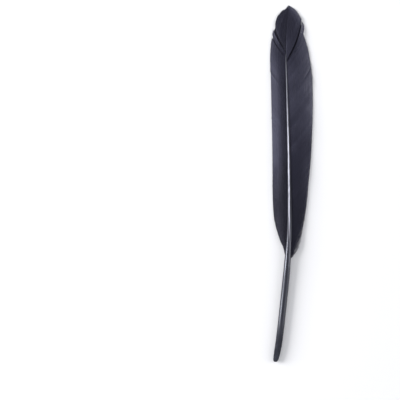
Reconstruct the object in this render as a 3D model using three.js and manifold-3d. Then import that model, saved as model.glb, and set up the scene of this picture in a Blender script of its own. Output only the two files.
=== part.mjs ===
// A goose quill feather, dyed black, lying with its upper side up on a flat surface.
// Millimetres. +Z is up, +Y runs along the feather to its tip, and +X is towards the broad inner vane.
// The origin is the middle of the feather's box, on the surface that it lies on.
// It grew as one piece, so it is one solid: a shaft, and on each side of it a vane of barbs in locks.

import * as THREE from "three";
import { mergeVertices } from "three/addons/utils/BufferGeometryUtils.js";
import Module from "manifold-3d";

// The shaft, from the blunt end of the quill to the tip.
// [y, x, half width, half height, height of its underside above the surface]
const SHAFT = [
  [-88.9, -8.0, 0.9, 0.9, 0.6],
  [-87.4, -7.72, 1.35, 1.35, 0.2],
  [-84.5, -7.15, 1.62, 1.6, 0.0],
  [-78.0, -6.1, 1.72, 1.7, 0.0],
  [-66.0, -4.7, 1.75, 1.75, 0.0],
  [-50.0, -3.0, 1.75, 1.75, 0.15],
  [-37.0, -1.85, 1.6, 1.65, 0.7],
  [-22.0, -1.05, 1.27, 1.4, 1.45],
  [-3.0, -1.15, 1.05, 1.2, 2.2],
  [16.0, -1.5, 0.88, 1.0, 2.6],
  [34.0, -1.9, 0.7, 0.8, 2.7],
  [50.0, -2.35, 0.52, 0.6, 2.45],
  [65.0, -2.75, 0.36, 0.42, 1.8],
  [78.0, -2.35, 0.22, 0.26, 1.0],
  [84.5, -1.75, 0.14, 0.16, 0.5],
  [87.8, -1.5, 0.08, 0.08, 0.25],
];
const SHAFT_SIDES = 16;
const SHAFT_RINGS = 46;
const QUILL_FLAT_FROM = -84; // between these two stations the quill's underside is flat on the surface
const QUILL_FLAT_TO = -64;

// The barbs that guide the vanes, in runs from the base to the tip. Where the vane has come unzipped, one run
// ends and the next starts just past it on the shaft.
// [y of the root on the shaft, x of the tip, y of the tip, bow, height of the tip above the surface]
// A barb with a bow of 1 is straight. With more, it leaves the shaft more squarely and bends forward.
const INNER_VANE = [
  [
    [-37.6, 0.85, -36.1, 1.0, 1.9],
    [-36.3, 3.6, -32.2, 1.1, 1.4],
    [-33.2, 5.1, -26.2, 1.15, 0.9],
    [-28.4, 6.1, -19.6, 1.2, 0.5],
    [-21.4, 7.05, -11.2, 1.25, 0.15],
    [-11.5, 8.0, 0.2, 1.25, 0.0],
    [-1.7, 9.35, 12.5, 1.25, 0.0],
    [9.6, 10.2, 25.4, 1.25, 0.0],
    [18.9, 10.75, 36.0, 1.25, 0.0],
    [28.9, 10.7, 46.5, 1.25, 0.0],
    [36.8, 10.4, 54.5, 1.25, 0.05],
    [46.2, 9.2, 62.8, 1.3, 0.15],
    [53.6, 7.6, 69.2, 1.35, 0.3],
    [58.4, 6.1, 74.6, 1.45, 0.35],
    [60.2, 6.2, 77.8, 1.65, 0.3],
    [61.0, 5.4, 80.2, 1.9, 0.3],
  ],
  [
    [61.3, 4.5, 79.4, 1.95, 0.75],
    [62.8, 5.65, 80.7, 1.65, 0.6],
    [66.5, 4.8, 82.6, 1.35, 0.5],
    [71.0, 3.7, 84.6, 1.25, 0.4],
    [76.5, 2.3, 86.6, 1.2, 0.3],
    [81.5, 0.45, 88.0, 1.15, 0.2],
    [86.3, -1.4, 88.95, 1.05, 0.15],
  ],
];
const OUTER_VANE = [
  [
    [-37.4, -3.3, -36.1, 1.0, 1.9],
    [-34.6, -4.3, -32.2, 1.1, 1.5],
    [-31.9, -5.65, -28.1, 1.15, 1.1],
    [-29.1, -7.3, -22.5, 1.2, 0.7],
    [-23.8, -8.5, -15.2, 1.2, 0.3],
    [-16.6, -9.1, -7.0, 1.25, 0.1],
    [-5.8, -9.5, 4.4, 1.25, 0.0],
    [5.4, -9.75, 16.0, 1.25, 0.0],
    [17.4, -9.95, 28.0, 1.25, 0.0],
    [30.9, -10.25, 41.9, 1.25, 0.0],
    [43.8, -10.55, 55.0, 1.25, 0.05],
    [50.3, -10.8, 61.9, 1.25, 0.15],
    [58.0, -10.15, 69.4, 1.3, 0.25],
    [62.6, -9.55, 73.2, 1.35, 0.3],
  ],
  [
    [62.9, -9.4, 74.3, 1.2, 0.6],
    [65.4, -8.95, 77.2, 1.35, 0.5],
  ],
  [
    [65.7, -7.9, 77.9, 1.15, 0.75],
    [67.5, -7.7, 80.1, 1.3, 0.65],
    [71.5, -6.65, 83.3, 1.3, 0.45],
    [75.5, -5.4, 85.1, 1.25, 0.35],
    [80.0, -3.9, 86.4, 1.2, 0.25],
    [84.0, -2.75, 87.1, 1.1, 0.2],
    [86.3, -1.8, 88.75, 1.05, 0.15],
  ],
];
const LOCK_PITCH = 4.4; // along the shaft, from one lock of barbs to the next
const LOCK_COLUMNS = 3;
const LOCK_RISE = 0.25; // of a lock's middle above its two sides
const LOCK_NOTCH = 0.035; // a lock's sides stop short of its tip by this share of a barb
const BARB_STEPS = 7;
const VANE_DROOP = 1.75; // the vanes curve down more towards their margins, as this power of the way there
const VANE_SEAT = 0.35; // a barb's root is this share of the shaft's half height above its middle
const VANE_ROOT_IN = 0.4; // and this share of the shaft's half width inside its side
const ROOT_THICKNESS = 0.6;
const MARGIN_THICKNESS = 0.26;

const DYED_BLACK = 0x2b2b36;
const SATIN_ROUGHNESS = 0.55;

// The smooth curve through rows of [station, value, value, ...], read at one station.
function along(rows, station) {
  const last = rows.length - 2;
  const next = rows.findIndex((row) => row[0] > station);
  const i = next < 0 ? last : Math.max(next - 1, 0);
  const [a, b] = [rows[i], rows[i + 1]];
  const before = rows[Math.max(i - 1, 0)];
  const after = rows[Math.min(i + 2, rows.length - 1)];
  const span = b[0] - a[0];
  const t = THREE.MathUtils.clamp((station - a[0]) / span, 0, 1);
  return a.slice(1).map((value, k) => {
    const end = b[k + 1];
    const slope = ((end - before[k + 1]) / (b[0] - before[0])) * span;
    const endSlope = ((after[k + 1] - value) / (after[0] - a[0])) * span;
    return (
      value * (2 * t ** 3 - 3 * t ** 2 + 1) +
      slope * (t ** 3 - 2 * t ** 2 + t) +
      end * (3 * t ** 2 - 2 * t ** 3) +
      endSlope * (t ** 3 - t ** 2)
    );
  });
}

// The middle and the half sizes of the shaft's section at one station.
function shaftAt(y) {
  const [x, halfWidth, halfHeight, underside] = along(SHAFT, y);
  const isFlat = y > QUILL_FLAT_FROM && y < QUILL_FLAT_TO;
  const lift = isFlat ? 0 : Math.max(underside, 0);
  const z = lift + halfHeight * Math.cos(Math.PI / SHAFT_SIDES);
  return { x, z, halfWidth, halfHeight };
}

// Moves each point of a geometry to the place that a function gives for it.
function bend(geometry, placeOf) {
  const { position } = geometry.attributes;
  const point = new THREE.Vector3();
  for (let i = 0; i < position.count; i += 1) {
    const placed = placeOf(point.fromBufferAttribute(position, i));
    position.setXYZ(i, placed.x, placed.y, placed.z);
  }
  return geometry;
}

// The quill and the shaft above it: a cylinder along Y with one of its flat sides down, bent to the stations.
function shaftGeometry() {
  const straight = new THREE.CylinderGeometry(1, 1, 1, SHAFT_SIDES, SHAFT_RINGS);
  straight.rotateY(Math.PI / SHAFT_SIDES);
  const start = SHAFT[0][0];
  const end = SHAFT[SHAFT.length - 1][0];
  return bend(straight, (point) => {
    const y = THREE.MathUtils.lerp(start, end, point.y + 0.5);
    const { x, z, halfWidth, halfHeight } = shaftAt(y);
    return new THREE.Vector3(x + point.x * halfWidth, y, z + point.z * halfHeight);
  });
}

// A point in a vane's middle surface, at a share of the way along the barb that grows from rootY.
function barbPoint(run, side, rootY, share) {
  const [tipX, tipY, bow, tipLift] = along(run, rootY);
  const root = shaftAt(rootY);
  const rootX = root.x + side * root.halfWidth * (1 - VANE_ROOT_IN);
  const rootZ = root.z + root.halfHeight * VANE_SEAT;
  const tipZ = Math.max(tipLift, 0) + MARGIN_THICKNESS / 2;
  return new THREE.Vector3(
    THREE.MathUtils.lerp(rootX, tipX, 1 - (1 - share) ** bow),
    THREE.MathUtils.lerp(rootY, tipY, share),
    THREE.MathUtils.lerp(rootZ, tipZ, share ** VANE_DROOP),
  );
}

// One run of barbs: a thin blade with a low ridge along each of its locks. Its box has the shaft along X, the
// barbs along Y and the thickness along Z.
function vaneGeometry(run, side) {
  const first = run[0][0];
  const last = run[run.length - 1][0];
  const locks = Math.max(1, Math.round((last - first) / LOCK_PITCH));
  const flat = new THREE.BoxGeometry(1, 1, 1, locks * LOCK_COLUMNS, BARB_STEPS, 1);
  return bend(flat, (point) => {
    const crest = Math.abs(Math.sin(Math.PI * locks * (point.x + 0.5)));
    const share = (point.y + 0.5) * (1 - LOCK_NOTCH * (1 - crest));
    const rootY = THREE.MathUtils.lerp(first, last, side > 0 ? 0.5 - point.x : 0.5 + point.x);
    const thickness = THREE.MathUtils.lerp(ROOT_THICKNESS, MARGIN_THICKNESS, share);
    const ridge = LOCK_RISE * crest * Math.sin(Math.PI * share);
    const middle = barbPoint(run, side, rootY, share);
    return middle.setZ(middle.z + ridge + point.z * thickness);
  });
}

const wasm = await Module();
wasm.setup();

function toSolid(geometry) {
  geometry.deleteAttribute("normal");
  geometry.deleteAttribute("uv");
  const merged = mergeVertices(geometry);
  return new wasm.Manifold(
    new wasm.Mesh({
      numProp: 3,
      vertProperties: merged.attributes.position.array,
      triVerts: new Uint32Array(merged.index.array),
    }),
  );
}

function toGeometry(solid) {
  const { numProp, vertProperties, triVerts } = solid.getMesh();
  return new THREE.BufferGeometry()
    .setAttribute("position", new THREE.BufferAttribute(vertProperties, numProp))
    .setIndex(new THREE.BufferAttribute(triVerts, 1));
}

// The shaft and every run of barbs, joined as they grew, with the middle of their box over the origin.
function featherGeometry() {
  let whole = toSolid(shaftGeometry());
  for (const run of INNER_VANE) whole = whole.add(toSolid(vaneGeometry(run, 1)));
  for (const run of OUTER_VANE) whole = whole.add(toSolid(vaneGeometry(run, -1)));
  const geometry = toGeometry(whole);
  geometry.computeBoundingBox();
  const { x, y } = geometry.boundingBox.getCenter(new THREE.Vector3());
  return geometry.translate(-x, -y, 0);
}

const dyedKeratin = new THREE.MeshStandardMaterial({
  color: DYED_BLACK,
  roughness: SATIN_ROUGHNESS,
  metalness: 0,
});
const feather = new THREE.Mesh(featherGeometry(), dyedKeratin);
feather.name = "feather";

const part = new THREE.Group();
part.add(feather);
export default part;
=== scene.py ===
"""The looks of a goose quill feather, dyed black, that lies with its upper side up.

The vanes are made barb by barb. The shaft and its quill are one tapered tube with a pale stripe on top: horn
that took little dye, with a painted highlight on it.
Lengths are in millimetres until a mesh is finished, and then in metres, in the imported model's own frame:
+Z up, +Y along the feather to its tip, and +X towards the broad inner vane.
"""

import logging
import math
from dataclasses import dataclass
from enum import Enum

import bmesh
import bpy
import numpy as np
from mathutils import Matrix, Vector


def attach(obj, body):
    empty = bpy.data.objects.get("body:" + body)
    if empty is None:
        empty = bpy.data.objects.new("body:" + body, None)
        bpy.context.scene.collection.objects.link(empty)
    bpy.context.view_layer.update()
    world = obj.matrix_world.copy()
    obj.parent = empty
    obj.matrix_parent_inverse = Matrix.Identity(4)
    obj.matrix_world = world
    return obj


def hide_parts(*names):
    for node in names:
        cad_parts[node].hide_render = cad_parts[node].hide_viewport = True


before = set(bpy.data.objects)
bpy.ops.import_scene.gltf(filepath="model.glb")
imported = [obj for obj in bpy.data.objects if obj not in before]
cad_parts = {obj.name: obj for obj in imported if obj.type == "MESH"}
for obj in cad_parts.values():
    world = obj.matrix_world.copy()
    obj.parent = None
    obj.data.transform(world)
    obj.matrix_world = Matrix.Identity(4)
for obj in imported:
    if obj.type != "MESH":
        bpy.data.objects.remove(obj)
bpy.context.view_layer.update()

LOG = logging.getLogger("feather")
MM = 0.001
CAD_NODE = "feather"
BODY = "root"

Rows = tuple[tuple[float, ...], ...]
Span = tuple[float, float]
Pairs = tuple[Span, ...]
Triple = tuple[float, float, float]
Colour = tuple[float, float, float]
Shades = tuple[tuple[float, Colour], ...]

# The shaft: [y, x, half width, half height, height of its underside above the surface]
SHAFT_ROWS: Rows = (
    (-88.9, -8.0, 0.9, 0.9, 0.6),
    (-87.4, -7.72, 1.35, 1.35, 0.2),
    (-84.5, -7.15, 1.62, 1.6, 0.0),
    (-78.0, -6.1, 1.72, 1.7, 0.0),
    (-66.0, -4.7, 1.75, 1.75, 0.0),
    (-50.0, -3.0, 1.75, 1.75, 0.15),
    (-37.0, -1.85, 1.6, 1.65, 0.7),
    (-22.0, -1.05, 1.27, 1.4, 1.45),
    (-3.0, -1.15, 1.05, 1.2, 2.2),
    (16.0, -1.5, 0.88, 1.0, 2.6),
    (34.0, -1.9, 0.7, 0.8, 2.7),
    (50.0, -2.35, 0.52, 0.6, 2.45),
    (65.0, -2.75, 0.36, 0.42, 1.8),
    (78.0, -2.35, 0.22, 0.26, 1.0),
    (84.5, -1.75, 0.14, 0.16, 0.5),
    (87.8, -1.5, 0.08, 0.08, 0.25),
)

# The barbs that guide each stretch of a vane, from its base to its tip:
# [y of the root, x of the tip, y of the tip, bow, height of the tip]
INNER_ROWS: tuple[Rows, ...] = (
    (
        (-37.6, 0.85, -36.1, 1.0, 1.9),
        (-36.3, 3.6, -32.2, 1.1, 1.4),
        (-33.2, 5.1, -26.2, 1.15, 0.9),
        (-28.4, 6.1, -19.6, 1.2, 0.5),
        (-21.4, 7.5, -11.2, 1.25, 0.15),
        (-11.5, 8.55, 0.2, 1.25, 0.0),
        (-1.7, 9.75, 12.5, 1.25, 0.0),
        (9.6, 10.4, 25.4, 1.25, 0.0),
        (18.9, 10.75, 36.0, 1.25, 0.0),
        (28.9, 10.7, 46.5, 1.25, 0.0),
        (36.8, 10.4, 54.5, 1.25, 0.05),
        (46.2, 9.2, 62.8, 1.3, 0.15),
        (53.6, 7.8, 69.2, 1.35, 0.3),
        (58.4, 6.0, 74.6, 1.45, 0.35),
        (59.1, 5.8, 75.9, 1.5, 0.35),
        (60.2, 6.3, 78.6, 1.65, 0.3),
        (60.6, 5.5, 80.6, 1.8, 0.3),
        (60.85, 4.55, 81.3, 1.92, 0.3),
    ),
    (
        (61.75, 4.25, 81.0, 1.64, 0.75),
        (62.6, 4.9, 81.9, 1.35, 0.65),
        (66.5, 4.6, 83.0, 1.3, 0.5),
        (71.0, 3.55, 84.6, 1.25, 0.4),
        (76.5, 2.15, 86.6, 1.2, 0.3),
        (81.5, 0.35, 88.0, 1.15, 0.2),
        (86.3, -1.4, 88.95, 1.05, 0.15),
    ),
)
OUTER_ROWS: tuple[Rows, ...] = (
    (
        (-37.4, -3.3, -36.1, 1.0, 1.9),
        (-34.6, -4.3, -32.2, 1.1, 1.5),
        (-31.9, -5.95, -28.1, 1.15, 1.1),
        (-29.1, -7.75, -22.5, 1.2, 0.7),
        (-23.8, -9.05, -15.2, 1.2, 0.3),
        (-16.6, -9.52, -7.0, 1.25, 0.1),
        (-5.8, -9.65, 4.4, 1.25, 0.0),
        (5.4, -9.75, 16.0, 1.25, 0.0),
        (17.4, -9.95, 28.0, 1.25, 0.0),
        (30.9, -10.25, 41.9, 1.25, 0.0),
        (43.8, -10.55, 55.0, 1.25, 0.05),
        (50.3, -10.8, 61.9, 1.25, 0.15),
        (58.0, -10.15, 69.4, 1.3, 0.25),
        (62.6, -9.55, 73.2, 1.35, 0.38),
    ),
    (
        (62.9, -9.4, 74.3, 1.25, 0.5),
        (65.4, -8.95, 77.2, 1.35, 0.5),
    ),
    (
        (65.7, -7.9, 77.9, 1.15, 0.75),
        (67.5, -7.85, 80.1, 1.3, 0.65),
        (71.5, -6.85, 83.3, 1.3, 0.45),
        (75.5, -5.45, 85.1, 1.25, 0.35),
        (80.0, -4.2, 86.4, 1.2, 0.25),
        (84.0, -2.75, 87.1, 1.1, 0.2),
        (86.3, -1.8, 88.75, 1.05, 0.15),
    ),
)

# The barbs that cross the splits below the stretches on both sides of them, in the same form
INNER_CROSSING: Rows = (
    (60.7, 5.2, 80.4, 1.85, 0.1),
    (61.1, 4.7, 81.2, 1.95, 0.1),
    (61.6, 4.1, 81.2, 1.9, 0.1),
    (62.3, 3.6, 81.4, 1.7, 0.1),
)
OUTER_CROSSINGS: tuple[Rows, ...] = (
    (
        (62.2, -9.5, 72.4, 1.35, 0.1),
        (63.3, -9.3, 75.2, 1.25, 0.1),
    ),
    (
        (65.0, -8.9, 76.4, 1.35, 0.1),
        (66.4, -7.7, 79.0, 1.2, 0.1),
    ),
)

# How much paler or deeper each vane is painted along its length, dye changes with painted shade that deepens
# towards the base: the place in millimetres and the change of level there
INNER_DYE_AND_SHADE: Pairs = (
    (-36.0, -0.32),
    (-16.0, -0.22),
    (4.0, -0.08),
    (20.0, 0.06),
    (42.0, 0.2),
    (60.0, 0.12),
    (68.0, 0.04),
    (76.0, -0.08),
    (88.0, -0.06),
)
OUTER_DYE_AND_SHADE: Pairs = (
    (-36.0, -0.8),
    (-24.0, -0.68),
    (-12.0, -0.5),
    (4.0, -0.22),
    (18.0, 0.08),
    (34.0, 0.08),
    (48.0, 0.03),
    (58.0, 0.05),
    (68.0, -0.12),
    (76.0, -0.1),
    (88.0, -0.1),
)

# How much paler each vane is painted towards its margin, along its length: painted sheen where the vane
# curves down to the light, and wear
INNER_SHEEN_AND_WEAR: Pairs = (
    (-36.0, 0.16),
    (0.0, 0.18),
    (22.0, 0.18),
    (40.0, 0.34),
    (60.0, 0.3),
    (88.0, 0.3),
)
OUTER_SHEEN_AND_WEAR: Pairs = (
    (-36.0, 0.04),
    (-8.0, 0.12),
    (14.0, 0.26),
    (34.0, 0.2),
    (52.0, 0.12),
    (88.0, 0.12),
)

PACKED_SIDES = 16
SHAFT_SEAT = math.cos(math.pi / PACKED_SIDES)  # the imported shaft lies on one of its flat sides
NOISE_SPAN: Span = (0.3, 0.7)  # nearly all of a noise's values are between these


def ease(value: np.ndarray, low: float, high: float) -> np.ndarray:
    """Rises smoothly from 0 at low to 1 at high."""
    share = np.clip((value - low) / (high - low), 0, 1)
    return share * share * (3 - 2 * share)


class Course:
    """A smooth curve through rows of numbers, read at stations along the feather."""

    def __init__(self, rows: Rows) -> None:
        """Works out the curve's slope at each row.

        Args:
            rows: A station and its values in each row, in the stations' order.
        """
        table = np.array(rows, float)
        self.stations = table[:, 0]
        self.values = table[:, 1:]
        after = np.minimum(np.arange(len(table)) + 1, len(table) - 1)
        before = np.maximum(np.arange(len(table)) - 1, 0)
        gaps = self.stations[after] - self.stations[before]
        self.slopes = (self.values[after] - self.values[before]) / gaps[:, None]

    @property
    def first(self) -> float:
        """The first station."""
        return float(self.stations[0])

    @property
    def last(self) -> float:
        """The last station."""
        return float(self.stations[-1])

    def at(self, stations: np.ndarray) -> np.ndarray:
        """Reads the curve.

        Args:
            stations: Any number of stations, in an array of any shape.

        Returns:
            The values, in an array with one more axis than the stations have.
        """
        row = np.clip(np.searchsorted(self.stations, stations, side="right") - 1, 0, len(self.stations) - 2)
        span = self.stations[row + 1] - self.stations[row]
        t = np.clip((stations - self.stations[row]) / span, 0, 1)[..., None]
        span = span[..., None]
        return (
            self.values[row] * (2 * t**3 - 3 * t**2 + 1)
            + self.slopes[row] * span * (t**3 - 2 * t**2 + t)
            + self.values[row + 1] * (3 * t**2 - 2 * t**3)
            + self.slopes[row + 1] * span * (t**3 - t**2)
        )


class Drift:
    """Smooth random values between -1 and 1 along the feather, the same on each run of the script."""

    START = -200.0
    COUNT = 4000

    def __init__(self, seed: int, pitch: float) -> None:
        """Draws the values.

        Args:
            seed: Which set of values.
            pitch: How far apart they stand, in millimetres.
        """
        self.pitch = pitch
        self.values = np.random.default_rng(seed).uniform(-1, 1, self.COUNT)

    def at(self, stations: np.ndarray) -> np.ndarray:
        """Reads the values.

        Args:
            stations: Any number of stations.

        Returns:
            The value at each of them.
        """
        place = (stations - self.START) / self.pitch
        row = np.floor(place).astype(int)
        t = place - row
        t = t * t * (3 - 2 * t)
        return self.values[row] * (1 - t) + self.values[row + 1] * t


class Side(Enum):
    """Which side of the shaft a vane grows on, as the sign of X there."""

    INNER = 1
    OUTER = -1


@dataclass(frozen=True)
class Cleft:
    """A place where neighbouring barbs have let go of each other, so that one edge stands over the other."""

    root_y: float  # where it points on the shaft
    start: float  # the share of a barb where the edges part
    rise: float  # of the upper edge, at its highest
    width: float = 0.15  # of the notch at the margin
    contrast: float = 0.8  # how much paler the upper edge is painted, and how much darker the lower one: a painted highlight and painted shade
    spread: float = 1.2  # how far along the shaft the edges settle down again


@dataclass(frozen=True)
class Stretch:
    """A stretch of a vane whose barbs hold together."""

    rows: Rows
    painted_edge_highlight: float = 0.0  # how much paler its last barbs are painted: a painted highlight on the edge that stands up
    edge_highlight_width: float = 0.8  # how far back along the shaft the painted highlight reaches
    edge_highlight_from: float = 0.15  # the share of a barb from which the painted highlight starts
    pale_tips: float = 0.0  # how much paler the ends of all its barbs are
    dark: float = 0.0  # how much darker all of its barbs are painted: painted shade where other barbs lie over them
    drop: float = 0.0  # how far it lies below the stretches beside it
    reach: float = 1.0  # how far its barbs go, as a share of the way to the margin

    @property
    def last(self) -> float:
        """Where on the shaft its last barb grows."""
        return self.rows[-1][0]


def mesh_from(work: bmesh.types.BMesh, name: str) -> bpy.types.Mesh:
    """Turns a finished bmesh into a mesh and frees it.

    Args:
        work: The bmesh.
        name: The mesh's name.

    Returns:
        The mesh.
    """
    mesh = bpy.data.meshes.new(name)
    work.to_mesh(mesh)
    work.free()
    return mesh


def points_of(mesh: bpy.types.Mesh) -> np.ndarray:
    """Reads a mesh's points.

    Args:
        mesh: The mesh.

    Returns:
        The points, one row each.
    """
    flat = np.empty(len(mesh.vertices) * 3, np.float32)
    mesh.vertices.foreach_get("co", flat)
    return flat.reshape(-1, 3).astype(float)


def place_points(mesh: bpy.types.Mesh, points: np.ndarray) -> None:
    """Moves a mesh's points to places in millimetres."""
    mesh.vertices.foreach_set("co", (points * MM).astype(np.float32).ravel())
    mesh.update()


def store_map(mesh: bpy.types.Mesh, along: np.ndarray, across: np.ndarray) -> None:
    """Gives a mesh a UV map from two values at each of its points.

    Args:
        mesh: The mesh.
        along: The first value at each point.
        across: The second one.
    """
    point = np.empty(len(mesh.loops), np.int32)
    mesh.loops.foreach_get("vertex_index", point)
    layer = mesh.uv_layers.new(name="place")
    pairs = np.stack([along[point], across[point]], axis=1)
    layer.uv.foreach_set("vector", pairs.astype(np.float32).ravel())


def store_values(mesh: bpy.types.Mesh, name: str, values: np.ndarray) -> None:
    """Gives a mesh an attribute with one value, or one vector, at each of its points.

    Args:
        mesh: The mesh.
        name: The attribute's name.
        values: The values, or one row for each vector.
    """
    kind = "FLOAT" if values.ndim == 1 else "FLOAT_VECTOR"
    field = "value" if values.ndim == 1 else "vector"
    attribute = mesh.attributes.new(name, kind, "POINT")
    attribute.data.foreach_set(field, values.astype(np.float32).ravel())


def show(mesh: bpy.types.Mesh, name: str) -> bpy.types.Object:
    """Puts a mesh in the scene as an object at the origin.

    Args:
        mesh: The mesh.
        name: The object's name.

    Returns:
        The object.
    """
    piece = bpy.data.objects.new(name, mesh)
    bpy.context.scene.collection.objects.link(piece)
    return piece


class Nodes:
    """The shader nodes of one material, with short ways to add and link them."""

    # The Mix node's sockets for colours: the factor and the two colours, and the result
    MIX_INPUTS = (0, 6, 7)
    MIX_OUTPUT = 2

    def __init__(self, name: str) -> None:
        """Starts a material with an empty Principled surface.

        Args:
            name: The material's name.
        """
        self.material = bpy.data.materials.new(name)
        self.material.use_nodes = True
        self.tree = self.material.node_tree
        self.tree.nodes.clear()
        self.surface = self.tree.nodes.new("ShaderNodeBsdfPrincipled")
        output = self.tree.nodes.new("ShaderNodeOutputMaterial")
        self.tree.links.new(self.surface.outputs["BSDF"], output.inputs["Surface"])

    def add(self, kind: str, inputs: dict | None = None, **settings: object) -> bpy.types.Node:
        """Adds one node.

        Args:
            kind: The node's type name, without its "ShaderNode" prefix.
            inputs: Values or sockets for its inputs, by name or number.
            **settings: The node's own properties.

        Returns:
            The node.
        """
        node = self.tree.nodes.new("ShaderNode" + kind)
        for key, value in settings.items():
            setattr(node, key, value)
        for key, value in (inputs or {}).items():
            if isinstance(value, bpy.types.NodeSocket):
                self.tree.links.new(value, node.inputs[key])
            else:
                node.inputs[key].default_value = value
        return node

    def attribute(self, name: str) -> bpy.types.Node:
        """A node that reads an attribute of the piece."""
        return self.add("Attribute", attribute_name=name, attribute_type="GEOMETRY")

    def math(self, operation: str, *values: object) -> bpy.types.NodeSocket:
        """The result of a sum on numbers or sockets."""
        return self.add("Math", dict(enumerate(values)), operation=operation).outputs[0]

    def remap(self, value: bpy.types.NodeSocket, source: Span, result: Span) -> bpy.types.NodeSocket:
        """Carries a value smoothly from one range to another.

        Args:
            value: The value.
            source: The range that it is in.
            result: The range that it comes to.

        Returns:
            The new value's socket.
        """
        names = ("Value", "From Min", "From Max", "To Min", "To Max")
        inputs = dict(zip(names, (value, *source, *result)))
        return self.add("MapRange", inputs, interpolation_type="SMOOTHSTEP").outputs["Result"]

    def noise(self, vector: bpy.types.NodeSocket, scale: float, detail: float = 2.0) -> bpy.types.NodeSocket:
        """Noise between 0 and 1 that follows a vector."""
        return self.add("TexNoise", {"Vector": vector, "Scale": scale, "Detail": detail}).outputs["Fac"]

    def stretched(self, vector: bpy.types.NodeSocket, scale: Triple) -> bpy.types.NodeSocket:
        """A vector with its three parts multiplied."""
        return self.add("VectorMath", {0: vector, 1: scale}, operation="MULTIPLY").outputs["Vector"]

    def follow(self, value: bpy.types.NodeSocket, course: Pairs) -> bpy.types.NodeSocket:
        """A number that changes along a value as a smooth curve.

        Args:
            value: What it follows.
            course: The value and the number there, at each point of the curve.

        Returns:
            The number's socket.
        """
        node = self.add("FloatCurve", {"Value": value})
        curve = node.mapping.curves[0]
        node.mapping.use_clip = False
        while len(curve.points) < len(course):
            curve.points.new(0, 0)
        for point, place in zip(curve.points, course):
            point.location = place
        node.mapping.update()
        return node.outputs["Value"]

    def ramp(self, factor: bpy.types.NodeSocket, stops: Shades) -> bpy.types.NodeSocket:
        """A colour that changes along a factor.

        Args:
            factor: What it follows.
            stops: The factor's value and the colour there, at each stop.

        Returns:
            The colour's socket.
        """
        node = self.add("ValToRGB", {"Fac": factor})
        elements = node.color_ramp.elements
        while len(elements) < len(stops):
            elements.new(0.5)  # its place is set below
        for element, (place, colour) in zip(elements, stops):
            element.position = place
            element.color = (*colour, 1)
        return node.outputs["Color"]

    def mix(self, factor: object, first: object, second: object) -> bpy.types.NodeSocket:
        """One colour that becomes another as the factor rises.

        Args:
            factor: A number or a socket, from 0 to 1.
            first: The colour at 0, or its socket.
            second: The colour at 1, or its socket.

        Returns:
            The colour's socket.
        """
        node = self.add("Mix", data_type="RGBA")
        for number, value in zip(self.MIX_INPUTS, (factor, first, second)):
            socket = node.inputs[number]
            if isinstance(value, bpy.types.NodeSocket):
                self.tree.links.new(value, socket)
            else:
                socket.default_value = value if isinstance(value, float) else (*value, 1)
        return node.outputs[self.MIX_OUTPUT]

    def set(self, **values: object) -> None:
        """Sets the surface's inputs.

        Args:
            **values: A value or a socket for each input, with _ for a blank in its name.
        """
        for key, value in values.items():
            socket = self.surface.inputs[key.replace("_", " ")]
            if isinstance(value, bpy.types.NodeSocket):
                self.tree.links.new(value, socket)
            else:
                socket.default_value = value


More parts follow.
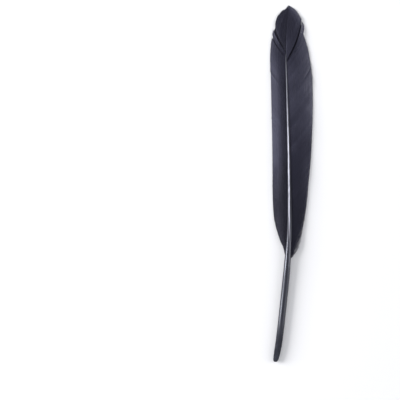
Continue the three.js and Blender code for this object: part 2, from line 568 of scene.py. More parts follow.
@dataclass(frozen=True)
class BarbFinish:
    """Barbs dyed blue-black: satin with fine slanting barbules, and painted sheen, highlights and shade in
    their colour.
    """

    name: str
    dye_and_shade: Pairs
    sheen_and_wear: Pairs
    # How pale the barbs are painted, from 0 to 1, and their colour there
    shades: Shades = (
        (0.0, (0.004, 0.004, 0.008)),
        (0.4, (0.017, 0.017, 0.03)),
        (0.7, (0.05, 0.05, 0.075)),
        (1.0, (0.13, 0.13, 0.17)),
    )
    level_at: float = 0.4  # how pale the dye is before anything changes it
    root_shade: float = 0.0  # painted shade: how much darker the barbs are beside the shaft, in the crease where they meet it
    root_shade_share: float = 0.55  # the share of a barb over which the painted shade lies
    root_shade_fade: Span = (48.0, 68.0)  # where along the feather the painted shade comes to an end
    sheen_and_wear_from: float = 0.25  # the share of a barb from which the painted sheen and wear start
    streak: float = 0.09  # how much the level changes with the tone: the dye from lock to lock, and the painted highlights and shade in the tone
    cloud_scale: float = 90.0
    cloud_detail: float = 3.0
    cloud_depth: float = 0.05
    roughness: Span = (0.46, 0.6)
    roughness_scale: float = 45.0
    gloss: float = 0.26
    gloss_tint: Colour = (0.78, 0.78, 1.0)
    sheen: float = 0.08
    sheen_roughness: float = 0.4
    sheen_tint: Colour = (0.75, 0.76, 1.0)
    barbule_pitch: float = 0.09
    barbule_slant: float = 0.35
    barbule_strength: float = 0.35
    barbule_height: float = 0.012

    def make(self) -> bpy.types.Material:
        """Builds the material.

        Returns:
            The material.
        """
        nodes = Nodes(self.name)
        spot = nodes.add("TexCoord").outputs["Object"]
        colour = nodes.ramp(self.level(nodes, spot), self.shades)
        roughness = nodes.remap(nodes.noise(spot, self.roughness_scale), NOISE_SPAN, self.roughness)
        nodes.set(Base_Color=colour, Roughness=roughness, Specular_IOR_Level=self.gloss)
        nodes.set(Specular_Tint=(*self.gloss_tint, 1), Normal=self.barbules(nodes))
        nodes.set(Sheen_Weight=self.sheen, Sheen_Roughness=self.sheen_roughness)
        nodes.set(Sheen_Tint=(*self.sheen_tint, 1))
        return nodes.material

    def level(self, nodes: Nodes, spot: bpy.types.NodeSocket) -> bpy.types.NodeSocket:
        """Works out how pale the barbs are painted: dye, wear, and painted sheen, highlights and shade.

        Args:
            nodes: The material's nodes.
            spot: The place on the feather, in metres.

        Returns:
            The socket of the level, from 0, darkest, to 1, palest.
        """
        share = nodes.attribute("share").outputs["Fac"]
        tone = nodes.attribute("tone").outputs["Fac"]
        along = nodes.add("SeparateXYZ", {0: spot}).outputs["Y"]
        station = nodes.math("DIVIDE", along, MM)
        # Painted shade beside the shaft, in the crease where the barbs meet it
        root = nodes.remap(share, (0.0, self.root_shade_share), (-self.root_shade, 0.0))
        root = nodes.math("MULTIPLY", root, nodes.remap(station, self.root_shade_fade, (1.0, 0.0)))
        # Painted sheen towards the margin where the vane curves down, together with wear
        margin_sheen_and_wear = nodes.remap(share, (self.sheen_and_wear_from, 1.0), (0.0, 1.0))
        margin_sheen_and_wear = nodes.math("MULTIPLY", margin_sheen_and_wear, nodes.follow(station, self.sheen_and_wear))
        streak = nodes.math("MULTIPLY", tone, self.streak)
        noise = nodes.noise(spot, self.cloud_scale, self.cloud_detail)
        cloud = nodes.remap(noise, NOISE_SPAN, (-self.cloud_depth, self.cloud_depth))
        level: object = self.level_at
        for part in (root, margin_sheen_and_wear, nodes.follow(station, self.dye_and_shade), streak, cloud):
            level = nodes.math("ADD", level, part)
        return level

    def barbules(self, nodes: Nodes) -> bpy.types.NodeSocket:
        """Adds the fine ribs that slant away from each barb's ridge on both sides.

        Args:
            nodes: The material's nodes.

        Returns:
            The socket of the normal.
        """
        place = nodes.add("UVMap", uv_map="place").outputs["UV"]
        parts = nodes.add("SeparateXYZ", {0: place})
        aside = nodes.math("ABSOLUTE", parts.outputs["Y"])
        slant = nodes.math("MULTIPLY", aside, self.barbule_slant)
        run = nodes.math("ADD", parts.outputs["X"], slant)
        wave = nodes.math("SINE", nodes.math("MULTIPLY", run, math.tau / self.barbule_pitch))
        sizes = {"Strength": self.barbule_strength, "Distance": self.barbule_height * MM}
        return nodes.add("Bump", {"Height": wave} | sizes).outputs["Normal"]


@dataclass(frozen=True)
class ShaftFinish:
    """The shaft's horn: a pale stripe on top, horn that took little dye with a painted highlight on it, dark
    flanks, and a glossy dark quill.
    """

    name: str = "dyed_horn"
    flank: Colour = (0.009, 0.009, 0.015)
    quill: Colour = (0.007, 0.008, 0.013)
    quill_worn: Colour = (0.022, 0.024, 0.034)
    # The stripe's colour: horn that took little dye, with a painted highlight of the light on the shaft's
    # flat top
    stripe_and_highlight: Colour = (0.8, 0.8, 0.92)
    stripe_edge: float = 0.26  # its half width, as a share of the shaft's
    stripe_fray: float = 0.12  # how far its edges wander, as a share of the same
    stripe_blur: float = 0.08  # over which its edges fade, as a share of the same
    stripe_rise: Span = (0.0, 0.4)  # the heights on the shaft's side between which it begins
    bare: Span = (-40.0, -30.0)  # where the quill becomes the shaft between the vanes
    fibre_grain: Triple = (9.0, 0.25, 9.0)
    fibre_detail: float = 3.0
    mottle_grain: Triple = (1.6, 0.35, 1.6)
    mottle_detail: float = 4.0
    mottle_span: Span = (0.35, 0.75)
    scratch_grain: Triple = (14.0, 0.6, 14.0)
    scratch_strength: float = 0.4
    scratch_depth: float = 0.05
    gloss: float = 0.74
    gloss_tint: Colour = (0.85, 0.87, 1.0)
    # The place along the feather, and how far aside the stripe's middle is there, towards the outer vane,
    # as a share of the shaft's half width
    stripe_aside: Pairs = (
        (-50.0, -0.35),
        (-36.0, -0.3),
        (-30.0, -0.2),
        (-24.0, 0.0),
        (-16.0, 0.2),
        (-6.0, 0.18),
        (4.0, 0.16),
        (18.0, 0.11),
        (32.0, 0.2),
        (90.0, 0.2),
    )
    # The place along the feather, and how pale the stripe is there, from 0 to 1
    stripe_fade: Pairs = (
        (-52.0, 0.0),
        (-36.0, 0.04),
        (-28.0, 0.13),
        (-23.0, 0.32),
        (-16.0, 0.68),
        (-8.0, 0.82),
        (3.0, 0.92),
        (14.0, 1.0),
        (22.0, 0.92),
        (32.0, 0.66),
        (40.0, 0.4),
        (48.0, 0.28),
        (56.0, 0.22),
        (62.0, 0.06),
        (68.0, 0.0),
        (90.0, 0.0),
    )
    # The place near the blunt end, and how much paler the horn is there
    end_spot: Pairs = (
        (-88.9, 0.0),
        (-88.3, 0.15),
        (-87.3, 0.5),
        (-86.2, 0.15),
        (-84.5, 0.0),
        (90.0, 0.0),
    )
    # The place along the feather, and how rough the horn is there
    dulling: Pairs = (
        (-90.0, 0.95),
        (-79.0, 0.93),
        (-74.0, 0.74),
        (-68.0, 0.4),
        (-60.0, 0.3),
        (-52.0, 0.42),
        (-46.0, 0.36),
        (-42.0, 0.15),
        (-38.0, 0.1),
        (-33.0, 0.14),
        (-27.0, 0.36),
        (-20.0, 0.56),
        (50.0, 0.56),
        (66.0, 0.65),
        (90.0, 0.65),
    )

    def make(self) -> bpy.types.Material:
        """Builds the material.

        Returns:
            The material.
        """
        nodes = Nodes(self.name)
        grain = nodes.attribute("grain").outputs["Vector"]
        station = nodes.add("SeparateXYZ", {0: grain}).outputs["Y"]
        mottle = nodes.noise(nodes.stretched(grain, self.mottle_grain), 1.0, self.mottle_detail)
        mottle = nodes.remap(mottle, self.mottle_span, (0.0, 1.0))
        worn = nodes.math("ADD", mottle, nodes.follow(station, self.end_spot))
        horn = nodes.mix(worn, self.quill, self.quill_worn)
        dark = nodes.mix(nodes.remap(station, self.bare, (0.0, 1.0)), horn, self.flank)
        colour = nodes.mix(self.stripe_and_highlight_mask(nodes, grain), dark, self.stripe_and_highlight)
        limits = {0: nodes.follow(station, self.dulling), 1: 0.0, 2: 1.0}
        roughness = nodes.add("Clamp", limits).outputs[0]
        nodes.set(Base_Color=colour, Roughness=roughness, Specular_IOR_Level=self.gloss)
        nodes.set(Specular_Tint=(*self.gloss_tint, 1), Normal=self.scratches(nodes, grain))
        return nodes.material

    def stripe_and_highlight_mask(self, nodes: Nodes, grain: bpy.types.NodeSocket) -> bpy.types.NodeSocket:
        """Works out where the stripe is, with its painted highlight.

        Args:
            nodes: The material's nodes.
            grain: The place on the shaft: across it, along it, and up its side.

        Returns:
            The socket of the stripe's paleness, from 0 to 1.
        """
        parts = nodes.add("SeparateXYZ", {0: grain})
        station = parts.outputs["Y"]
        aside = nodes.follow(station, self.stripe_aside)
        across = nodes.math("ABSOLUTE", nodes.math("ADD", parts.outputs["X"], aside))
        fibres = nodes.noise(nodes.stretched(grain, self.fibre_grain), 1.0, self.fibre_detail)
        fray = nodes.remap(fibres, NOISE_SPAN, (-self.stripe_fray, self.stripe_fray))
        inside = nodes.math("SUBTRACT", self.stripe_edge, nodes.math("ADD", across, fray))
        mask = nodes.remap(inside, (-self.stripe_blur, self.stripe_blur), (0.0, 1.0))
        on_top = nodes.remap(parts.outputs["Z"], self.stripe_rise, (0.0, 1.0))
        paleness = nodes.follow(station, self.stripe_fade)
        return nodes.math("MULTIPLY", nodes.math("MULTIPLY", mask, on_top), paleness)

    def scratches(self, nodes: Nodes, grain: bpy.types.NodeSocket) -> bpy.types.NodeSocket:
        """Adds the fine lines along the horn.

        Args:
            nodes: The material's nodes.
            grain: The place on the shaft: across it, along it, and up its side.

        Returns:
            The socket of the normal.
        """
        lines = nodes.noise(nodes.stretched(grain, self.scratch_grain), 1.0)
        sizes = {"Strength": self.scratch_strength, "Distance": self.scratch_depth * MM}
        return nodes.add("Bump", {"Height": lines} | sizes).outputs["Normal"]


@dataclass
class Shaft:
    """The quill and the shaft above it: one tube from the blunt end, with its small pit, to the tip."""

    course: Course
    sides: int = 48
    rings: int = 240
    crowding: float = 0.97  # how much closer the rings stand at the blunt end
    crowded_share: float = 0.04  # and over which share of the length
    rounding: float = 0.55  # the length over which the blunt end rounds off
    end_share: float = 0.66  # the width of the end's flat, as a share of the whole
    end_rim: float = 0.34  # the pit's edge, as a share of the way in from the end's rim
    pit_depth: float = 0.006  # as a share of the length
    box_rise: float = 0.55  # how far the upper shaft's section is squared off
    box_power: int = 4
    box_shrink: float = 0.05  # how much smaller the squared section is
    box_over: Span = (-36.0, -8.0)  # where the section changes
    groove_depth: float = 0.28  # of the groove along its underside, as a share of the half height
    groove_over: Span = (-40.0, -15.0)  # where the groove begins
    groove_from: float = 0.8  # how far down the side the groove begins
    sharp_from: float = math.radians(60)

    @property
    def length(self) -> float:
        """From the blunt end to the tip."""
        return self.course.last - self.course.first

    def middle(self, stations: np.ndarray) -> tuple[np.ndarray, ...]:
        """Reads where the section's middle is, and its half sizes.

        Args:
            stations: Any number of stations.

        Returns:
            At each of them x, z, the half width and the half height.
        """
        x, half_width, half_height, underside = np.moveaxis(self.course.at(stations), -1, 0)
        lift = np.maximum(underside, 0)
        return x, lift + half_height * SHAFT_SEAT, half_width, half_height

    def straight(self) -> bpy.types.Mesh:
        """Makes a straight tube along Y, 1 in radius and 1 long, with a pit in its lower end.

        Returns:
            The tube's mesh.
        """
        work = bmesh.new()
        turned = Matrix.Rotation(-math.pi / 2, 4, "X")
        bmesh.ops.create_cone(
            work, cap_ends=True, segments=self.sides, radius1=1, radius2=1, depth=1, matrix=turned
        )
        long_edges = [e for e in work.edges if abs(e.verts[0].co.y - e.verts[1].co.y) > 0.5]
        bmesh.ops.subdivide_edges(work, edges=long_edges, cuts=self.rings - 1, use_grid_fill=True)
        caps = [f for f in work.faces if len(f.verts) == self.sides]
        end = min(caps, key=lambda f: f.calc_center_median().y)
        bmesh.ops.inset_region(work, faces=[end], thickness=self.end_rim, use_even_offset=True)
        pit = bmesh.ops.extrude_face_region(work, geom=[end])["geom"]
        bmesh.ops.delete(work, geom=[end], context="FACES_ONLY")
        floor = [g for g in pit if isinstance(g, bmesh.types.BMVert)]
        bmesh.ops.translate(work, verts=floor, vec=(0, self.pit_depth, 0))
        bmesh.ops.recalc_face_normals(work, faces=work.faces)
        return mesh_from(work, "shaft")

    def fullness(self, station: np.ndarray, angle: np.ndarray, in_pit: np.ndarray) -> np.ndarray:
        """Works out how full the section is: square between the vanes, and less at the blunt end.

        Args:
            station: Each point's place along the feather.
            angle: Where it is around the section.
            in_pit: Whether it is in the end's pit.

        Returns:
            Each point's distance from the middle, as a share of that in a round tube.
        """
        squared = self.box_rise * ease(station, *self.box_over)
        power = self.box_power
        box = (np.abs(np.cos(angle)) ** power + np.abs(np.sin(angle)) ** power) ** (-1 / power)
        square = (1 + squared * (box - 1)) * (1 - self.box_shrink * squared)
        from_end = np.clip((station - self.course.first) / self.rounding, 0, 1)
        end = self.end_share + (1 - self.end_share) * np.sqrt(1 - (1 - from_end) ** 2)
        return square * np.where(in_pit, self.end_share, end)

    def build(self) -> bpy.types.Object:
        """Makes the tube and bends it to its course.

        Returns:
            The finished piece, without a material.
        """
        mesh = self.straight()
        across, along, up = points_of(mesh).T
        radius = np.hypot(across, up)
        angle = np.arctan2(up, across)
        in_pit = radius < 1 - self.end_rim / 2
        share = along + 0.5
        crowded = share * (1 - self.crowding * np.exp(-share / self.crowded_share))
        station = self.course.first + np.where(in_pit, share, crowded) * self.length
        x, z, half_width, half_height = self.middle(station)
        radius = radius * self.fullness(station, angle, in_pit)
        lowest = ease(-np.sin(angle), self.groove_from, 1.0)
        depth = radius * (1 - self.groove_depth * ease(station, *self.groove_over) * lowest)
        place_x = x + half_width * radius * np.cos(angle)
        place_z = np.maximum(z + half_height * depth * np.sin(angle), 0)
        place_points(mesh, np.stack([place_x, station, place_z], 1))
        store_values(mesh, "grain", np.stack([np.cos(angle) * radius, station, np.sin(angle)], 1))
        store_map(mesh, station / self.length, angle / math.tau)
        mesh.set_sharp_from_angle(angle=self.sharp_from)
        return show(mesh, "shaft")


@dataclass(frozen=True)
class Barb:
    """A barb's own form: a thin ridged blade that gets narrower and thinner towards its end."""

    # Across its section, as a share of its width, and the height there
    section: Pairs = (
        (-0.5, 0.0),
        (-0.25, 0.015),
        (0.0, 0.06),
        (0.25, 0.015),
        (0.5, 0.0),
        (0.2, -0.04),
        (0.0, -0.09),
        (-0.2, -0.04),
    )
    steps: int = 20
    overlap: float = 1.22  # its width over the distance to the next one
    tilt: float = 0.05  # how much higher one edge is than the other
    narrowing: float = 0.5  # how much of its width goes at its end
    narrow_over: Span = (0.94, 1.0)
    thinning: float = 0.55  # how much of its thickness goes along its length
    end_thinning: float = 0.6  # and how much of the rest goes at its end
    thin_over: Span = (0.9, 1.0)
    loose_narrowing: float = 0.3  # how much of its width goes along its length where it is loose
    row_gap: float = 2.0  # between the barbs of a straight row, in their widths

    def straight(self) -> bmesh.types.BMesh:
        """Makes one straight barb along Y from 0 to 1: its section drawn out in steps.

        Returns:
            The barb, still a bmesh.
        """
        work = bmesh.new()
        rim = [work.verts.new((across, 0, height)) for across, height in self.section]
        face = work.faces.new(rim)
        for _ in range(self.steps):
            made = bmesh.ops.extrude_face_region(work, geom=[face])["geom"]
            moved = [g for g in made if isinstance(g, bmesh.types.BMVert)]
            bmesh.ops.translate(work, verts=moved, vec=(0, 1 / self.steps, 0))
            face = next(g for g in made if isinstance(g, bmesh.types.BMFace))
        bmesh.ops.recalc_face_normals(work, faces=work.faces)
        return work

    def straight_row(self, count: int) -> bpy.types.Mesh:
        """Makes a row of straight barbs, whose middles stand a fixed gap apart along X.

        Args:
            count: How many barbs.

        Returns:
            The row's mesh.
        """
        single = mesh_from(self.straight(), "one_barb")
        barb = show(single, "one_barb")
        array = barb.modifiers.new("row", "ARRAY")
        array.use_relative_offset = False
        array.use_constant_offset = True
        array.constant_offset_displace = (self.row_gap, 0, 0)
        array.count = count
        row = bpy.data.meshes.new_from_object(barb.evaluated_get(bpy.context.evaluated_depsgraph_get()))
        bpy.data.objects.remove(barb)
        bpy.data.meshes.remove(single)
        return row

    def width(self, share: np.ndarray, loose: np.ndarray) -> np.ndarray:
        """Its width along its length, over the distance to the next one."""
        narrow = self.narrowing * ease(share, *self.narrow_over)
        return self.overlap * (1 - narrow - self.loose_narrowing * loose * share)

    def thickness(self, share: np.ndarray) -> np.ndarray:
        """Its thickness along its length, as a share of that at its root."""
        return (1 - self.thinning * share) * (1 - self.end_thinning * ease(share, *self.thin_over))


@dataclass(frozen=True)
class Chance:
    """The chance values at each point of a row of barbs, between -1 and 1."""

    own: np.ndarray  # four values of the point's own barb, one row each
    lock: np.ndarray
    clump: np.ndarray
    swing: np.ndarray
    loose: np.ndarray  # how loose its barb is, from 0 to 1


@dataclass(frozen=True)
class Unevenness:
    """How far the barbs stray from an even row: each by itself, and with others in clumps and in locks."""

    lock_pitch: float = 4.4  # along the shaft, from one lock to the next
    clump_pitch: float = 1.3
    swing_pitch: float = 9.0
    loose_over: Span = (-36.0, -27.0)  # the barbs are loose below these stations, and hold above them
    # Half of how much shorter a barb can be, as a share of its length: by itself, in a clump, and loose
    own_short: float = 0.006
    clump_short: float = 0.008
    loose_short: float = 0.08
    own_stray: float = 0.04  # how far a barb's end strays along the vane
    clump_stray: float = 0.1
    loose_stray: float = 3.5  # how much further it strays where it is loose
    own_rise: float = 0.03  # how far a barb's end rises
    clump_rise: float = 0.05
    lock_rise: float = 0.12  # how far a lock's middle rises
    lock_bulge: float = 0.8  # brings the highest place closer to the shaft
    lock_parts: Triple = (0.8, 0.7, 0.4)  # of a lock's rise: the same everywhere, by lock, and by swing
    tone_parts: Triple = (0.45, 0.35, 0.3)  # of the dye's changes: by lock, by clump, and by barb

    def draw(self, seed: int, first: int, count: int, number: np.ndarray, barb_y: np.ndarray) -> Chance:
        """Draws the chance values of one row.

        Args:
            seed: The vane's set of values.
            first: The number of the row's first barb in the whole vane.
            count: How many sets of values are drawn for barbs.
            number: The number of each point's barb in the row.
            barb_y: Where on the shaft that barb grows.

        Returns:
            The values at each point.
        """
        return Chance(
            own=np.random.default_rng([seed, first]).uniform(-1, 1, (count, 4))[number].T,
            lock=Drift(seed, self.lock_pitch).at(barb_y),
            clump=Drift(seed + 1, self.clump_pitch).at(barb_y),
            swing=Drift(seed + 2, self.swing_pitch).at(barb_y),
            loose=1 - ease(barb_y, *self.loose_over),
        )

    def reach(self, chance: Chance) -> np.ndarray:
        """Works out how long each barb is.

        Args:
            chance: The values at each point.

        Returns:
            The share of its full length.
        """
        own = self.own_short * (1 + chance.own[0])
        clump = self.clump_short * (1 + chance.clump)
        loose = self.loose_short * chance.loose * (1 + chance.own[1])
        return 1 - own - clump - loose

    def stray(self, share: np.ndarray, chance: Chance) -> np.ndarray:
        """How far each point is moved along the vane."""
        stray = self.own_stray * chance.own[2] + self.clump_stray * chance.clump
        return share**2 * stray * (1 + self.loose_stray * chance.loose)

    def rise(self, share: np.ndarray, chance: Chance) -> np.ndarray:
        """Works out how far each point rises above the even vane.

        Args:
            share: How far along its barb each point is.
            chance: The values at each point.

        Returns:
            The rise at each point.
        """
        always, by_lock, by_swing = self.lock_parts
        lock = always + by_lock * chance.lock + by_swing * chance.swing
        wave = self.lock_rise * np.sin(np.pi * np.clip(share, 0, 1) ** self.lock_bulge) * lock
        return wave + share * (self.clump_rise * chance.clump + self.own_rise * chance.own[3])

    def tone(self, chance: Chance) -> np.ndarray:
        """Works out how much paler or deeper the dye is.

        Args:
            chance: The values at each point.

        Returns:
            The change at each point, from -1 to 1.
        """
        by_lock, by_clump, by_barb = self.tone_parts
        tone = by_lock * chance.lock + by_clump * chance.clump + by_barb * chance.own[1]
        return np.clip(tone, -1, 1)


@dataclass
class Vane:
    """One side's vane: a row of barbs along the shaft, each a thin blade from the shaft to the margin."""

    side: Side
    stretches: tuple[Stretch, ...]
    clefts: tuple[Cleft, ...]
    shaft: Shaft
    seed: int
    fringe: Span  # how far the barbs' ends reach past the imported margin, low down and near the tip
    fringe_over: Span = (58.0, 74.0)  # where the one becomes the other
    apex_in: float = 0.12  # how far the last ends lean in, to close the apex
    apex_over: Span = (86.5, 88.7)
    tip_fringe: float = 0.4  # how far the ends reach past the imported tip
    tip_over: Span = (55.0, 88.0)
    pitch: float = 0.21  # from one barb to the next, across them
    even_at: float = 0.8  # the share of a barb where the pitch is kept
    closest: float = 0.5  # at least this much of the pitch is kept at the roots
    samples: int = 2000  # along a stretch, to find where its barbs stand
    ahead: float = 0.05  # the share of a barb over which its direction is taken
    step_y: float = 0.05  # how far along the shaft, and along a barb, the slope of the vane is taken
    step_share: float = 0.01
    droop: float = 1.75  # the vanes curve down more towards their margins, as this power of the way there
    seat: float = 0.35  # a barb's root is this share of the shaft's half height above its middle
    root_in: float = 0.4  # and this share of the shaft's half width inside its side
    closing: Span = (58.0, 70.0)  # where the roots climb to the shaft's top, and there meet
    top_seat: float = 1.15
    top_in: float = 1.1
    margin_lift: float = 0.13
    parting_full: float = 0.9  # the share of a barb where a cleft has its whole depth
    notch_from: float = 0.8  # and from which it opens towards the margin
    drop_over: float = 0.3  # the share of a barb over which a lower stretch goes down
    edge_highlight_over: float = 0.45  # the share of a barb over which the painted highlight on the last barbs of a stretch rises
    pale_tip: Span = (0.72, 0.98)  # the part of a barb that gets paler at its end
    lowest: float = 0.01  # how far the barbs stay above the surface
    lowest_share: float = 0.1  # and how much of their section's height they keep there
    sharp_from: float = math.radians(110)  # only a barb's two thin edges are sharper than this
    barb: Barb = Barb()
    unevenness: Unevenness = Unevenness()

    def surface(self, run: Course, root_y: np.ndarray, share: np.ndarray) -> np.ndarray:
        """Points in the vane's middle surface.

        Args:
            run: The barbs that guide this stretch of the vane.
            root_y: Where on the shaft each point's barb grows.
            share: How far along its barb each point is, from 0 to 1.

        Returns:
            The points, one row each.
        """
        tip_x, tip_y, bow, tip_lift = np.moveaxis(run.at(root_y), -1, 0)
        low, high = self.fringe
        fringe = low + (high - low) * ease(tip_y, *self.fringe_over)
        fringe = fringe - (high + self.apex_in) * ease(tip_y, *self.apex_over)
        tip_x = tip_x + self.side.value * fringe
        tip_y = tip_y + self.tip_fringe * ease(tip_y, *self.tip_over)
        x, z, half_width, half_height = self.shaft.middle(root_y)
        closed = ease(root_y, *self.closing)
        root_in = self.root_in + closed * (self.top_in - self.root_in)
        root_x = x + self.side.value * half_width * (1 - root_in)
        root_z = z + half_height * (self.seat + closed * (self.top_seat - self.seat))
        aside = 1 - (1 - np.clip(share, 0, 1)) ** bow
        tip_z = np.maximum(tip_lift, 0) + self.margin_lift
        return np.stack(
            [
                root_x + (tip_x - root_x) * aside,
                root_y + (tip_y - root_y) * share,
                root_z + (tip_z - root_z) * share**self.droop,
            ],
            axis=-1,
        )

    def facing(self, run: Course, root_y: np.ndarray, share: np.ndarray) -> np.ndarray:
        """Works out which way is up from the vane.

        Args:
            run: The barbs that guide this stretch of the vane.
            root_y: Where on the shaft each point's barb grows.
            share: How far along its barb each point is, from 0 to 1.

        Returns:
            The upward unit normals, one row each.
        """
        near = np.clip(share, self.step_share, 1 - self.step_share)
        along = self.surface(run, root_y + self.step_y, near) - self.surface(run, root_y - self.step_y, near)
        out = self.surface(run, root_y, near + self.step_share)
        out -= self.surface(run, root_y, near - self.step_share)
        normal = np.cross(out, along) * self.side.value
        return normal / np.linalg.norm(normal, axis=-1, keepdims=True)

    def borders(self, run: Course) -> np.ndarray:
        """Where on the shaft each barb gives way to the next, closer together where the barbs fan out.

        Args:
            run: The barbs that guide this stretch of the vane.

        Returns:
            The stations, one more than there are barbs.
        """
        stations = np.linspace(run.first, run.last, self.samples)
        share = np.full_like(stations, self.even_at)
        places = self.surface(run, stations, share)
        onward = self.surface(run, stations, share + self.ahead) - places
        onward /= np.linalg.norm(onward, axis=1, keepdims=True)
        step = np.diff(places, axis=0)
        step -= onward[1:] * np.sum(step * onward[1:], axis=1, keepdims=True)
        gaps = np.maximum(np.linalg.norm(step, axis=1), self.closest * np.diff(stations))
        reached = np.concatenate([[0], np.cumsum(gaps)])
        count = max(2, round(reached[-1] / self.pitch))
        return np.interp(np.linspace(0, reached[-1], count + 1), reached, stations)

    def parted(self, barb_y: np.ndarray, share: np.ndarray) -> tuple[np.ndarray, np.ndarray, np.ndarray]:
        """What happens at each point where the barbs have let go of each other.

        Args:
            barb_y: Where on the shaft each point's barb grows.
            share: How far along its barb each point is.

        Returns:
            How far the points move along the vane, how far they move up, and how much paler or darker they
            are painted: a painted highlight on the raised edge and painted shade beside it.
        """
        moved = np.zeros_like(barb_y)
        raised = np.zeros_like(barb_y)
        cleft_light_and_shade = np.zeros_like(barb_y)
        for cleft in self.clefts:
            away = barb_y - cleft.root_y
            settled = np.exp(-np.abs(away) / cleft.spread)
            parting = settled * ease(share, cleft.start, self.parting_full)
            moved += np.sign(away) * cleft.width / 2 * settled * ease(share, self.notch_from, 1.0)
            raised += (away > 0) * cleft.rise * parting
            # Painted highlight on the raised edge, painted shade on the lower one
            cleft_light_and_shade += np.sign(away) * cleft.contrast * parting
        return moved, raised, cleft_light_and_shade

    def tone(self, stretch: Stretch, chance: Chance, barb_y: np.ndarray, share: np.ndarray) -> np.ndarray:
        """How much paler or deeper each point is painted: random dye changes, painted highlights and painted
        shade.

        Args:
            stretch: The stretch of the vane that the points belong to.
            chance: The random values at the points.
            barb_y: Where on the shaft each point's barb grows.
            share: How far along its barb each point is.

        Returns:
            The change, before that at the clefts.
        """
        # Painted highlight on the last barbs of the stretch, whose edges stand up to the light
        last = np.exp((barb_y - stretch.last) / stretch.edge_highlight_width)
        last = last * ease(share, stretch.edge_highlight_from, stretch.edge_highlight_from + self.edge_highlight_over)
        tips = ease(share, *self.pale_tip)
        tone = self.unevenness.tone(chance) + stretch.painted_edge_highlight * last
        # The stretch's painted shade is taken off here
        return tone + stretch.pale_tips * tips - stretch.dark

    def bend_row(self, row: bpy.types.Mesh, stretch: Stretch, borders: np.ndarray, first: int) -> None:
        """Moves a straight row of barbs to its place on the vane and stores what the finish reads.

        Args:
            row: The straight row.
            stretch: Where it goes.
            borders: Where on the shaft each barb gives way to the next.
            first: The number of its first barb in the whole vane.
        """
        run = Course(stretch.rows)
        across, share, height = points_of(row).T
        number = np.rint(across / self.barb.row_gap).astype(int)
        across = across - number * self.barb.row_gap
        pitch = np.diff(borders)[number]
        barb_y = (borders[number] + borders[number + 1]) / 2
        chance = self.unevenness.draw(self.seed, first, len(borders), number, barb_y)
        moved, raised, cleft_light_and_shade = self.parted(barb_y, share)
        offset = across * self.barb.width(share, chance.loose) * pitch + moved
        offset += self.unevenness.stray(share, chance)
        root_y = np.clip(barb_y + offset, run.first, run.last)
        reach = stretch.reach * self.unevenness.reach(chance)
        flat = self.surface(run, root_y, share * reach)
        body = height * self.barb.thickness(share) + self.barb.tilt * across * self.side.value
        drop = stretch.drop * ease(share, 0, self.drop_over)
        lift = body + self.unevenness.rise(share, chance) + raised - drop
        points = flat + self.facing(run, root_y, share) * lift[:, None]
        points[:, 2] = np.maximum(points[:, 2], self.lowest + height * self.lowest_share)
        place_points(row, points)
        ends = self.surface(run, barb_y, np.ones_like(share))
        length = np.linalg.norm(ends - self.surface(run, barb_y, np.zeros_like(share)), axis=1)
        store_map(row, share * length, across * pitch)
        store_values(row, "share", share)
        # The tone holds random dye changes, and the painted highlights and shade at clefts, edges and
        # crossings
        store_values(row, "tone", self.tone(stretch, chance, barb_y, share) + cleft_light_and_shade)

    def build(self) -> bpy.types.Object:
        """Makes every stretch of barbs and joins them in one piece.

        Returns:
            The finished piece, without a material.
        """
        whole = bmesh.new()
        first = 0
        for stretch in self.stretches:
            borders = self.borders(Course(stretch.rows))
            count = len(borders) - 1
            row = self.barb.straight_row(count)
            self.bend_row(row, stretch, borders, first)
            whole.from_mesh(row)
            bpy.data.meshes.remove(row)
            first += count
        mesh = mesh_from(whole, f"{self.side.name.lower()}_vane")
        mesh.set_sharp_from_angle(angle=self.sharp_from)
        LOG.info("%s vane: %d barbs, %d faces", self.side.name.lower(), first, len(mesh.polygons))
        return show(mesh, mesh.name)


@dataclass(frozen=True)
class Softbox:
    """One soft light that faces the feather. Lengths are in metres, and the power in watts."""

    name: str
    place: Triple
    width: float
    height: float
    power: float

    def hang(self) -> None:
        """Puts the light in the scene."""
        data = bpy.data.lights.new(self.name, "AREA")
        data.shape = "RECTANGLE"
        data.size = self.width
        data.size_y = self.height
        data.energy = self.power
        light = bpy.data.objects.new(self.name, data)
        light.location = self.place
        light.rotation_euler = (-Vector(self.place)).to_track_quat("-Z", "Y").to_euler()
        bpy.context.scene.collection.objects.link(light)


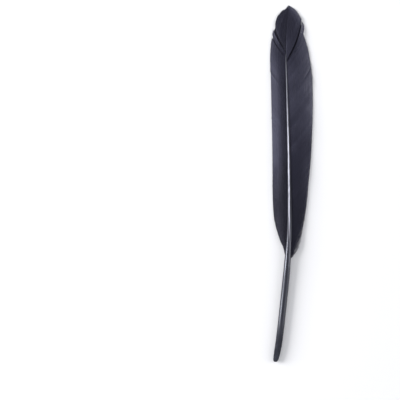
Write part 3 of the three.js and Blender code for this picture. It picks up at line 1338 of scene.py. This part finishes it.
@dataclass(frozen=True)
class Studio:
    """The plain pale floor, the soft light and the camera, straight above as in the photograph.

    Lengths are in metres.
    """

    pixel: float = 0.5 * MM  # of the photograph, on the feather
    picture: int = 400
    middle_pixel: Span = (291.3, 183.8)  # where the middle of the feather's box is seen
    distance: float = 1.1
    sensor: float = 36.0
    floor_size: float = 5.0
    floor_colour: Colour = (0.9, 0.9, 0.91)
    floor_roughness: float = 0.9
    floor_gloss: float = 0.1
    surround: Colour = (0.95, 0.96, 1.0)
    surround_strength: float = 0.56
    softboxes: tuple[Softbox, ...] = (
        Softbox("left_softbox", (-1.1, 0.16, 0.54), width=0.66, height=0.66, power=18.0),
        Softbox("right_softbox", (1.1, 0.1, 0.5), width=0.7, height=1.2, power=6.0),
    )

    def camera(self) -> None:
        """Puts the camera over the middle of the picture, looking straight down."""
        centre = self.picture / 2
        x = (centre - self.middle_pixel[0]) * self.pixel
        y = (self.middle_pixel[1] - centre) * self.pixel
        data = bpy.data.cameras.new("camera")
        data.sensor_width = self.sensor
        data.lens = self.sensor * self.distance / (self.picture * self.pixel)
        camera = bpy.data.objects.new("camera", data)
        camera.location = (x, y, self.distance)
        bpy.context.scene.collection.objects.link(camera)
        bpy.context.scene.camera = camera

    def floor(self) -> None:
        """Lays the floor under the feather."""
        work = bmesh.new()
        bmesh.ops.create_grid(work, x_segments=1, y_segments=1, size=self.floor_size / 2)
        floor = show(mesh_from(work, "floor"), "floor")
        nodes = Nodes("pale_floor")
        nodes.set(Base_Color=(*self.floor_colour, 1), Roughness=self.floor_roughness)
        nodes.set(Specular_IOR_Level=self.floor_gloss)
        floor.data.materials.append(nodes.material)

    def light(self) -> None:
        """A pale surround, a small soft light on the left and a weaker one on the right."""
        world = bpy.data.worlds.new("surround")
        world.use_nodes = True
        background = world.node_tree.nodes["Background"]
        background.inputs["Color"].default_value = (*self.surround, 1)
        background.inputs["Strength"].default_value = self.surround_strength
        bpy.context.scene.world = world
        for softbox in self.softboxes:
            softbox.hang()

    def build(self) -> None:
        """Sets the stage."""
        self.camera()
        self.floor()
        self.light()
        scene = bpy.context.scene
        scene.view_settings.view_transform = "Standard"
        scene.view_settings.look = "None"


@dataclass
class Feather:
    """The whole feather: the shaft and the two vanes that grow from its sides."""

    shaft: Shaft
    vanes: tuple[Vane, ...]
    shaft_finish: ShaftFinish
    barb_finishes: dict[Side, BarbFinish]

    def build(self) -> list[bpy.types.Object]:
        """Builds and dresses each piece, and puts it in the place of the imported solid.

        Returns:
            The pieces.
        """
        pieces = [self.dress(self.shaft.build(), self.shaft_finish.make())]
        for vane in self.vanes:
            finish = self.barb_finishes[vane.side]
            pieces.append(self.dress(vane.build(), finish.make()))
        return pieces

    def dress(self, piece: bpy.types.Object, material: bpy.types.Material) -> bpy.types.Object:
        """Gives a piece its finish and its place in the model.

        Args:
            piece: The piece.
            material: Its finish.

        Returns:
            The same piece.
        """
        piece.data.materials.append(material)
        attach(piece, BODY)
        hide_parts(CAD_NODE)
        return piece


def inner_vane(shaft: Shaft) -> Vane:
    """Lays out the broad vane, which has come unzipped once near the tip.

    Args:
        shaft: The shaft that it grows from.

    Returns:
        The vane, not yet built.
    """
    stretches = (
        # Painted highlight on the last barbs below the split, which catch the light
        Stretch(INNER_ROWS[0], painted_edge_highlight=3.4, edge_highlight_width=3.6, edge_highlight_from=0.35, pale_tips=0.8),
        # The crossing barbs are painted darker: painted shade under the stretches beside them
        Stretch(INNER_CROSSING, dark=3.0, drop=1.0, reach=0.97),
        Stretch(INNER_ROWS[1], pale_tips=2.4),
    )
    clefts = (
        Cleft(root_y=42.5, start=0.4, rise=0.3, width=0.4, contrast=4.0, spread=0.9),
        Cleft(root_y=35.2, start=0.3, rise=0.25),
        Cleft(root_y=6.0, start=0.4, rise=0.15),
        Cleft(root_y=-17.0, start=0.3, rise=0.2),
        Cleft(root_y=-27.5, start=0.3, rise=0.25, width=0.25),
    )
    return Vane(Side.INNER, stretches, clefts, shaft, seed=11, fringe=(0.15, 0.25))


def outer_vane(shaft: Shaft) -> Vane:
    """Lays out the narrow vane, which has come unzipped twice near the tip.

    Args:
        shaft: The shaft that it grows from.

    Returns:
        The vane, not yet built.
    """
    stretches = (
        # Painted highlights on the raised edges beside the splits
        Stretch(OUTER_ROWS[0], painted_edge_highlight=2.2, edge_highlight_from=0.5),
        # The crossings are painted darker: painted shade under the stretches beside them
        Stretch(OUTER_CROSSINGS[0], dark=1.0, drop=0.3, reach=0.97),
        Stretch(OUTER_ROWS[1], painted_edge_highlight=5.0),
        Stretch(OUTER_CROSSINGS[1], dark=3.0, drop=0.3, reach=0.97),
        Stretch(OUTER_ROWS[2], dark=1.0),
    )
    clefts = (
        Cleft(root_y=45.3, start=0.1, rise=0.2, contrast=-4.5, spread=0.9),
        Cleft(root_y=22.0, start=0.5, rise=0.12),
        Cleft(root_y=-11.0, start=0.4, rise=0.15),
        Cleft(root_y=-26.0, start=0.3, rise=0.2, width=0.35),
    )
    return Vane(Side.OUTER, stretches, clefts, shaft, seed=29, fringe=(-0.2, 0.22))


def main() -> None:
    """Builds the stage and the feather, and reports each piece."""
    logging.basicConfig(level=logging.INFO, format="%(name)s: %(message)s")
    Studio().build()
    shaft = Shaft(Course(SHAFT_ROWS))
    feather = Feather(
        shaft=shaft,
        vanes=(inner_vane(shaft), outer_vane(shaft)),
        shaft_finish=ShaftFinish(),
        barb_finishes={
            Side.INNER: BarbFinish("dyed_inner_barbs", INNER_DYE_AND_SHADE, INNER_SHEEN_AND_WEAR),
            Side.OUTER: BarbFinish("dyed_outer_barbs", OUTER_DYE_AND_SHADE, OUTER_SHEEN_AND_WEAR, root_shade=0.32),
        },
    )
    for piece in feather.build():
        LOG.info("%s: %d points", piece.name, len(piece.data.vertices))


if __name__ == "__main__":
    main()
